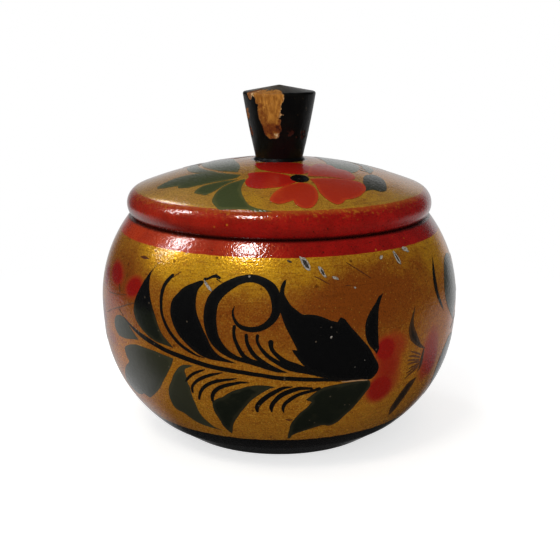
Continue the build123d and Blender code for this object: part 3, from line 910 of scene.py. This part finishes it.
LID_PETALS = (
    ((6.6, -30.1, 1), (2.3, -32.6), (-.9, -36.6), (-2.4, -40.1), (-2.7, -42.6), (-.6, -44.4), (1.6, -44.1),
     (4.1, -42.3, 1), (4.8, -44.4), (6.9, -46.4), (9.4, -45.9), (10.9, -43), (11.6, -38.7), (10.9, -33.7),
     (9.1, -30.9)),
    ((9.4, -26.6, 1), (11.2, -31.6), (12.2, -36.6), (14.2, -40.4), (16.9, -42.6), (18.6, -41.4),
     (19.6, -39.1, 1), (22.8, -36.8), (25.2, -33), (26.6, -28), (25.6, -23.9), (22.3, -23.1), (16, -24.2)),
    ((8.8, -24.4, 1), (9.2, -18.6), (10.4, -12.6), (13.2, -7.8), (16.6, -8.6), (18.2, -12.2, 1),
     (21.6, -13.4), (23.8, -18), (23, -22.4), (16, -23.2)),
)


def vary(points, seed, amount=0.5, reach=13.0):
    """The same motif painted again by hand: never quite the same."""
    out = []
    for p in points:
        shift = noise.noise_vector(Vector((p[0] / reach, p[1] / reach, seed)))
        out.append((p[0] + shift.x * amount * 2, p[1] + shift.y * amount, *p[2:]))
    return tuple(out)


def shifted(points, across):
    return tuple((p[0] + across, *p[1:]) for p in points)


def turned_about(points, degrees):
    c, s = math.cos(math.radians(degrees)), math.sin(math.radians(degrees))
    return tuple((p[0] * c - p[1] * s, p[0] * s + p[1] * c, *p[2:]) for p in points)


# ---- sections and where things lie on them
def path_near(section, path, radius, height):
    """Distance along the section at its point nearest to (radius, height)."""
    return path[np.argmin(np.hypot(section[:, 0] - radius, section[:, 1] - height))]


BOWL_SECTION = rounded_section("bowl", 1.15)
BOWL_PATH = path_along(BOWL_SECTION)
BOWL_PATH = BOWL_PATH - BOWL_PATH[np.argmax(BOWL_SECTION[:, 0])]  # up and down from the belly
LID_SECTION = rounded_section("lid", 0.9)
LID_PATH = path_along(LID_SECTION)
KNOB_SECTION = rounded_section("lid_knob", 0.35)
KNOB_PATH = path_along(KNOB_SECTION)

rim_z = BOWL_SECTION[:, 1].max()
near_rim = (BOWL_SECTION[:, 1] > rim_z - 3) & (BOWL_PATH > RED_BORDER)
mouth_r = BOWL_SECTION[near_rim][:, 0].min()
inside_from = path_near(BOWL_SECTION, BOWL_PATH, mouth_r, rim_z - 1.5)
painted = (BOWL_PATH > SKIN_LOW) & (BOWL_PATH < SKIN_HIGH)
SKIN = BOWL_SECTION[painted]
SKIN_PATH = BOWL_PATH[painted]
SKIN_OUT = normals_of(BOWL_SECTION)[painted]

# the lid's top from the middle out, so that its radius only grows
bead = np.argmax(LID_SECTION[:, 0])
LID_TOP = LID_SECTION[bead:][::-1]
LID_TOP = LID_TOP[np.concatenate([[True], np.diff(LID_TOP[:, 0]) > 1e-4]) & (LID_TOP[:, 0] > 5)]
LID_TOP_OUT = normals_of(LID_TOP[::-1])[::-1]


def read_off(where, along, *columns):
    """The columns of a section's tables, read at places along it."""
    return [np.interp(where, along, column) for table in columns for column in table.T]


def on_bowl(flat, height):
    """Flat (round, up) points set on the bowl, and their outward directions."""
    angle = flat[:, 0] / BELLY_R
    x, y = np.sin(angle), -np.cos(angle)
    radius, level, out_r, out_z = read_off(flat[:, 1], SKIN_PATH, SKIN, SKIN_OUT)
    radius = radius + out_r * height
    points = np.stack([radius * x, radius * y, level + out_z * height], axis=1)
    return points, np.stack([out_r * x, out_r * y, out_z], axis=1)


def on_lid(flat, height):
    """Flat (across, back) points set on the lid's top, and their outward directions."""
    x, y = flat[:, 0], flat[:, 1]
    radius = np.hypot(x, y)
    _, level, out_r, out_z = read_off(radius, LID_TOP[:, 0], LID_TOP, LID_TOP_OUT)
    grow = (radius + out_r * height) / radius
    points = np.stack([x * grow, y * grow, level + out_z * height], axis=1)
    return points, np.stack([x / radius * out_r, y / radius * out_r, out_z], axis=1)


# ---- the bowl and the lid, with their soft layers
def soft_spot(u, s, cu, cs, ru, rs, lean=0.0, power=5):
    """1 at the centre, 0.5 on the ellipse, fading outside."""
    c, w = math.cos(math.radians(lean)), math.sin(math.radians(lean))
    across = (u - cu) * c + (s - cs) * w
    up = (s - cs) * c - (u - cu) * w
    far = np.sqrt((across / ru) ** 2 + (up / rs) ** 2)
    return 1 / (1 + far ** power)


angles = np.arange(SEGMENTS) * 2 * math.pi / SEGMENTS
round_mm = (angles * BELLY_R + REPEAT / 2) % REPEAT - REPEAT / 2
U, S = np.meshgrid(round_mm, BOWL_PATH)
petal_layer = np.zeros_like(U)
for cu, cs, ru, rs, lean, strength in PETALS:
    for turn in (-REPEAT, 0, REPEAT):
        petal_layer = np.maximum(petal_layer, strength * soft_spot(U, S, cu + turn, cs, ru, rs, lean, 4))
petal_layer[S > RED_BORDER + 2] = 0
# a yellower gold on the upper band; its fall-off towards the far left of each side is painted shade
yellow_layer = np.clip((S - 11) / 9, 0, 1) * np.clip((U + 62) / 20, 0, 1) * 0.95 + 0.14
brown_layer = sum(strength * soft_spot(U, S, *place, 0, 3) for strength, *place in BROWN_CLOUDS)

bottom_end = path_near(BOWL_SECTION, BOWL_PATH, 35, 0.2)
lathe("bowl", BOWL_SECTION, BOWL_PATH, SEGMENTS, bowl_material(bottom_end, inside_from), "bowl", GOLD_WOOD,
      petal=petal_layer, yellow=yellow_layer, brown=brown_layer)

lid_border = path_near(LID_SECTION[bead:], LID_PATH[bead:], LID_BORDER_R, 81.7)
lid_seat = path_near(LID_SECTION[bead:], LID_PATH[bead:], GLUE_R, 90.7)
lid_under = path_near(LID_SECTION[:bead], LID_PATH[:bead], 43.2, 72.0)
lathe("lid", LID_SECTION, LID_PATH, SEGMENTS, lid_material(lid_border, lid_seat, lid_under), "lid", RED_WOOD)

# ---- the worn knob
# edges of the big bare patch as (height, angle); angles in degrees round the knob, 0 in front, left negative
BARE_LEFT = ((98, -20), (99.5, -28), (101.3, -31), (104, -36), (107.4, -39), (109.2, -37), (110.6, -56),
             (112, -60), (114, -62))
BARE_RIGHT = ((98, -3), (99.5, 1), (101.3, 3), (104, 1), (107.4, 2), (110, 6), (112, 8), (114, 6))
BARE_LOW, BARE_HIGH = 97.8, 114.0
# small worn spots: (angle, height, half width in degrees, half height, how stained)
WORN_SPOTS = (
    (-73, 106, 9, 2.2, .4), (-70, 100.2, 8, 1.8, .7), (21, 99.8, 9, 1.2, 1.1), (52, 99.3, 11, 1.7, 1.3),
    (38, 98.7, 6, .5, 1.2), (112, 112, 22, .8, 0), (160, 108, 14, 2.6, .1), (150, 101, 12, 1.2, .8),
    (-130, 112.2, 18, 1, 0), (-110, 96, 12, 1, .9), (-160, 104, 7, 1.2, .5), (95, 97, 8, .9, 1),
)

knob_angle = (np.degrees(np.arange(KNOB_SEGMENTS) * 2 * math.pi / KNOB_SEGMENTS) + 180) % 360 - 180
A, Z = np.meshgrid(knob_angle, KNOB_SECTION[:, 1])
knob_seat = path_near(KNOB_SECTION, KNOB_PATH, 8.5, 90.8)
outside = (KNOB_PATH > knob_seat)[:, None] & (KNOB_SECTION[:, 0] > 0.5)[:, None]
from_left = A - np.interp(Z, *zip(*BARE_LEFT))
from_right = np.interp(Z, *zip(*BARE_RIGHT)) - A
bare_layer = np.clip(0.5 + np.minimum(from_left, from_right) / 7, 0, 1)
bare_layer = bare_layer * np.clip((Z - BARE_LOW) / 1.2, 0, 1) * np.clip((BARE_HIGH - Z) / 0.7, 0, 1)
bare_layer = np.clip(bare_layer - 1.3 * soft_spot(A, Z, -46, 110.2, 4, 1.7, 8), 0, 1)
pale_layer = 0.55 * np.clip(1 - from_right / 9, 0, 1) + 0.75 * soft_spot(A, Z, -50, 110.5, 8, 4)
pale_layer = pale_layer + 0.6 * soft_spot(A, Z, -8, 99.4, 9, 1.2)
stain_layer = 0.92 * np.clip((104.6 - Z) / 2.2, 0, 1)
stain_layer = np.maximum(stain_layer, 0.58 * np.clip(1.7 - from_left / 12, 0, 1))
stain_right = np.clip(1.2 - from_right / 6, 0, 1) * np.clip((106.5 - Z) / 2, 0, 1)
stain_layer = np.maximum(stain_layer, 0.75 * stain_right)
stain_layer -= 0.9 * soft_spot(A, Z, -6, 99.6, 5, 0.8)
stain_layer -= 0.5 * soft_spot(A, Z, -20, 99.2, 4, 0.6)
for angle, z, wide, tall, stained in WORN_SPOTS:
    away = (A - angle + 180) % 360 - 180
    bare_layer = np.maximum(bare_layer, soft_spot(away, Z, 0, z, wide, tall) * (0.85 - 0.25 * stained))
    wide_spot = soft_spot(away, Z, 0, z, wide * 1.8, tall * 1.8)
    stain_layer = stain_layer * (1 - wide_spot) + wide_spot * stained * 1.3
bare_layer = bare_layer * outside
rough_edge = np.zeros_like(bare_layer)
for i in np.nonzero(outside)[0]:
    for j in range(KNOB_SEGMENTS):
        a = math.radians(A[i, j])
        spot = Vector((math.sin(a) * 9.5, -math.cos(a) * 9.5, Z[i, j]))
        rough_edge[i, j] = noise.noise(spot * 0.9) * 0.5 + noise.noise(spot * 2.1) * 0.3
bare_layer = bare_layer + rough_edge * 0.9
hollowed = np.clip((bare_layer - 0.42) / 0.16, 0, 1)
knob_sunk = (hollowed * (0.16 + 0.10 * rough_edge) + 0.05 * rough_edge) * outside
lathe("lid_knob", KNOB_SECTION, KNOB_PATH, KNOB_SEGMENTS, knob_material(), "lid", BLACK_WOOD,
      sunk=knob_sunk[1:-1], bare=bare_layer, stain=stain_layer, pale=pale_layer)

# ---- the paint, put on
paint_black = paint("paint_black", (0.0045, 0.0042, 0.0038), BLACK)
paint_green = paint("paint_dark_green", GREEN_SHALLOW, GREEN_DEEP)
paint_green_black = paint("paint_green_run_to_black", GREEN_SHALLOW, GREEN_DEEP, black_above=50.5)
paint_green_grey = paint("paint_grey_green", (0.036, 0.036, 0.018), (0.027, 0.028, 0.015), 5.0)
paint_lid_green = paint("paint_lid_green", (0.092, 0.098, 0.028), (0.054, 0.070, 0.020), 4.0)
paint_petal = paint("paint_petal_orange_red", (0.50, 0.042, 0.006), (0.43, 0.024, 0.005))
paint_petal_deep = paint("paint_petal_deep_red", (0.48, 0.013, 0.004), (0.40, 0.009, 0.004))
paint_brown = paint("paint_brown_mark", (0.09, 0.022, 0.006), (0.035, 0.009, 0.004))
paint_stamen = paint("paint_stamen", (0.110, 0.036, 0.010), (0.048, 0.017, 0.006))
paint_faded = paint("paint_faded_brown", (0.050, 0.022, 0.008), (0.016, 0.009, 0.004))
# a pale highlight painted on the gold between two leaves
paint_highlight_sliver = paint("paint_gold_sliver_highlight", (0.42, 0.24, 0.12), (0.34, 0.17, 0.07))
chip_pale = chip_material("chip_chalky", (0.44, 0.40, 0.35), (0.13, 0.11, 0.09))
chip_dark = chip_material("chip_dark_wood", (0.05, 0.04, 0.03), (0.010, 0.009, 0.008))


def strokes(*runs):
    return [("stroke", run) for run in runs]


def fills(*runs):
    return [("fill", run) for run in runs]


def chips(*rows):
    """Uneven ovals, filled."""
    return fills(*(chip_outline(*row) for row in rows))


def chip_outline(u, s, wide, tall, lean, seed, count=11):
    c, w = math.cos(math.radians(lean)), math.sin(math.radians(lean))
    out = []
    for i in range(count):
        a = 2 * math.pi * i / count
        far = 1 + 0.45 * noise.noise(Vector((math.cos(a) * 1.3, math.sin(a) * 1.3, seed)))
        x, y = math.cos(a) * wide * far, math.sin(a) * tall * far
        out.append((u + x * c - y * w, s + x * w + y * c))
    return tuple(out)


def paint_bowl(name, marks, material, level):
    films(name, marks, on_bowl, material, "bowl", level)


def paint_lid(name, marks, material, level):
    films(name, marks, on_lid, material, "lid", level, 1.0)


def paint_bowl_side(name, across, seed):
    """One of the two painted sides, set round the bowl by across. Seed 0 is the drawing itself."""
    def here(*runs):
        return [shifted(vary(run, seed) if seed else run, across) for run in runs]

    black = fills(*here(LEAF_TOP_MID, LEAF_BIG, LEAF_HORN, LEAF_FAR_TOP))
    black += strokes(*here(STEM, RIB, HOOK, HOOK_TAIL, SCROLL, *COMMAS, *HATCHES, *GRASS))
    faded = fills(*here(LEAF_FAR_LOW)) + strokes(*here(CRESCENT, FLOWER_EYE))
    grey = fills(*here(LEAF_LOW_LEFT, LEAF_SMALL, LEAF_LOW_MID, LEAF_SIDE))
    paint_bowl(name + "_branch_black", black, paint_black, 2)
    paint_bowl(name + "_leaf_green_black", fills(*here(LEAF_TOP_LEFT)), paint_green_black, 0)
    paint_bowl(name + "_leaves_green", fills(*here(LEAF_LOW, LEAF_LOW_RIGHT, LEAF_SIDE_LOW)), paint_green, 0)
    paint_bowl(name + "_leaves_grey_green", grey, paint_green_grey, 0)
    paint_bowl(name + "_faded", faded, paint_faded, 4)
    paint_bowl(name + "_stamens", strokes(*here(*STAMENS, *TWIGS)), paint_stamen, 8)


def paint_lid_side(name, turn, seed):
    """One of the two flowers on the lid, turned by so many degrees. Seed 0 is the drawing itself."""
    def here(*runs):
        return [turned_about(vary(run, seed, 0.6) if seed else run, turn) for run in runs]

    leaves = here(LID_LEAF_LONG, LID_LEAF_SHORT, LID_LEAF_FEATHER, LID_LEAF_BEHIND, LID_LEAF_THIN)
    dark = fills(*here(LID_LEAF_RIGHT)) + strokes(*here(*LID_DASHES))
    paint_lid(name + "_leaves", fills(*leaves), paint_lid_green, 0)
    paint_lid(name + "_leaf_dark", dark, paint_green_grey, 6)
    paint_lid(name + "_petals_deep", fills(*here(*LID_PETALS_DEEP)), paint_petal_deep, 8)
    paint_lid(name + "_petals", fills(*here(*LID_PETALS)), paint_petal, 12)
    paint_lid(name + "_eye", fills(*here(LID_EYE)), paint_black, 20)


paint_bowl_side("front", 0.0, 0)
paint_bowl_side("back", REPEAT, 7.3)
# the painted highlight line between two leaves
paint_bowl("front_sliver_highlight", strokes(HIGHLIGHT_SLIVER), paint_highlight_sliver, 16)
paint_bowl("brown_marks", strokes(*BROWN_MARKS), paint_brown, 6)
paint_bowl("chips_pale", chips(*CHIPS_PALE), chip_pale, 20)
paint_bowl("chips_dark", chips(*CHIPS_DARK), chip_dark, 28)
paint_lid_side("lid_front", 0, 0)
paint_lid_side("lid_back", 180, 3.1)

# ---- camera, light, floor, in m
CENTRE = Vector((0.0, 0.0, 0.045))
CAMERA_ELEVATION = 14.88
CAMERA_DISTANCE = 0.3423
LIGHT_DISTANCE = 0.9
WARM = (1.0, 0.95, 0.86)
COOL = (0.88, 0.96, 1.0)
FLOOR_RINGS = (0.04, 0.08, 0.12, 0.2, 0.4, 0.6, 0.9)
FLOOR_SEGMENTS = 64


def make_camera():
    data = bpy.data.cameras.new("camera")
    data.lens = 63.8
    data.sensor_width = 36.0
    data.shift_x = 0.0014
    data.shift_y = 0.0232
    data.clip_start = 0.01
    obj = bpy.data.objects.new("camera", data)
    bpy.context.scene.collection.objects.link(obj)
    aim_from(obj, 0.0, CAMERA_ELEVATION, CAMERA_DISTANCE)
    bpy.context.scene.camera = obj
    bpy.context.view_layer.update()
    return obj


def aim_from(obj, azimuth, elevation, distance):
    """Sets the object off from the centre, looking back at it."""
    az, el = math.radians(azimuth), math.radians(elevation)
    way = Vector((math.sin(az) * math.cos(el), -math.cos(az) * math.cos(el), math.sin(el)))
    obj.rotation_mode = "QUATERNION"
    obj.location = CENTRE + way * distance
    obj.rotation_quaternion = (-way).to_track_quat("-Z", "Y")


def softbox(name, azimuth, elevation, wide, tall, radiance, glossy=True, diffuse=True, color=(1, 1, 1)):
    """A light seen that way from the bowl, azimuth 0 at the camera, left negative. It follows the camera."""
    data = bpy.data.lights.new(name, "AREA")
    data.shape = "RECTANGLE"
    data.size = wide
    data.size_y = tall
    data.energy = radiance * math.pi * wide * tall
    data.color = color
    obj = bpy.data.objects.new(name, data)
    bpy.context.scene.collection.objects.link(obj)
    aim_from(obj, azimuth, elevation, LIGHT_DISTANCE)
    obj.visible_camera = False
    obj.visible_glossy = glossy
    obj.visible_diffuse = diffuse
    obj.parent = camera
    obj.matrix_parent_inverse = camera.matrix_world.inverted()


def make_room():
    """White behind the bowl, dim even light on it, and a pale wall and table mirrored in its lacquer."""
    world = bpy.data.worlds.new("studio")
    bpy.context.scene.world = world
    s = Shade("studio", world)
    right, _, ahead = s.split(s.coord["Camera"])
    level = s.split(s.coord["Generated"])[2]
    wall_start = s.ramp(right, -0.3, 0.3, 0.76, 0.68)
    wall_full = s.ramp(right, -0.3, 0.3, 1.00, 0.86)
    wall = s.times(s.ramp(ahead, wall_start, wall_full, 0.0, 0.54), s.ramp(level, 0.18, 0.60, 1.0, 0.10))
    table = s.times(s.ramp(ahead, 0.05, 0.50), s.ramp(right, -0.4, 0.4, 0.44, 0.30))
    table = s.times(table, s.ramp(level, -0.10, -0.20))
    dark_below = s.ramp(right, -0.43, -0.10, -0.76, -0.54)
    seen = s.ramp(level, dark_below, s.plus(dark_below, 0.2))
    mirrored = s.plus(s.times(s.most(wall, table), seen), 0.018)
    lit = s.ramp(level, -0.3, 0.9, 0.20, 0.42)
    paths = s.node("ShaderNodeLightPath").outputs
    strength = s.most(s.times(lit, paths["Is Diffuse Ray"]), s.times(mirrored, paths["Is Glossy Ray"]))
    strength = s.most(strength, paths["Is Camera Ray"])
    sky = s.node("ShaderNodeBackground", {"Color": (1.0, 1.0, 1.0, 1.0), "Strength": strength})
    s.node("ShaderNodeOutputWorld", {0: sky.outputs[0]})


def floor_material():
    """White paper that takes the bowl's shadow, and glows into the background further out."""
    s = Shade("floor_paper")
    far = s.vector("LENGTH", {0: s.place})["Value"]
    camera_ray = s.node("ShaderNodeLightPath").outputs["Is Camera Ray"]
    body = s.node("ShaderNodeBsdfPrincipled", {"Base Color": (0.75, 0.75, 0.75, 1), "Roughness": 0.9,
                                               "Emission Color": (1, 1, 1, 1),
                                               "Emission Strength": s.times(camera_ray, 0.66)})
    glow = s.node("ShaderNodeEmission", {"Strength": 1.0})
    blend = s.node("ShaderNodeMixShader", {0: s.ramp(far, 70, 260), 1: body.outputs[0], 2: glow.outputs[0]})
    s.node("ShaderNodeOutputMaterial", {0: blend.outputs[0]})
    return s.mat


def make_floor():
    """A round floor: triangles in the middle, then rings of quads."""
    verts = [(0, 0, 0)]
    for r in FLOOR_RINGS:
        for j in range(FLOOR_SEGMENTS):
            a = 2 * math.pi * j / FLOOR_SEGMENTS
            verts.append((r * math.cos(a), r * math.sin(a), 0))
    faces = [(0, 1 + j, 1 + (j + 1) % FLOOR_SEGMENTS) for j in range(FLOOR_SEGMENTS)]
    for k in range(len(FLOOR_RINGS) - 1):
        near = 1 + k * FLOOR_SEGMENTS
        far = near + FLOOR_SEGMENTS
        for j in range(FLOOR_SEGMENTS):
            n = (j + 1) % FLOOR_SEGMENTS
            faces.append((near + j, far + j, far + n, near + n))
    mesh = bpy.data.meshes.new("floor")
    mesh.from_pydata(verts, [], faces)
    mesh.materials.append(floor_material())
    obj = bpy.data.objects.new("floor", mesh)
    bpy.context.scene.collection.objects.link(obj)
    obj.visible_glossy = False


# the panes of a window, each as its mirror image and the light it gives, then weak fills
camera = make_camera()
softbox("pane_near", -29, 55, 0.16, 0.17, 32, diffuse=False, color=COOL)
softbox("pane_near_fill", -29, 55, 0.22, 0.20, 11, glossy=False, color=WARM)
softbox("pane_far", -88, 40, 0.10, 0.20, 28, diffuse=False, color=COOL)
softbox("pane_far_fill", -86, 42, 0.13, 0.22, 6, glossy=False, color=WARM)
softbox("pane_low", -90.6, 28.6, 0.07, 0.05, 24, diffuse=False)
softbox("pane_behind", -145, 41, 0.14, 0.16, 6)
softbox("pane_over", -130, 74, 0.16, 0.14, 6)
softbox("fill_front", -20, 30, 0.8, 0.6, 0.60, glossy=False)
softbox("fill_low", 10, 8, 0.8, 0.5, 0.85, glossy=False)
softbox("fill_left", -75, 8, 0.6, 0.6, 0.35, glossy=False, color=WARM)
softbox("fill_right", 78, 6, 0.6, 0.6, 0.42, glossy=False, color=WARM)
make_room()
make_floor()
bpy.context.scene.view_settings.view_transform = "Standard"
bpy.context.scene.view_settings.look = "None"
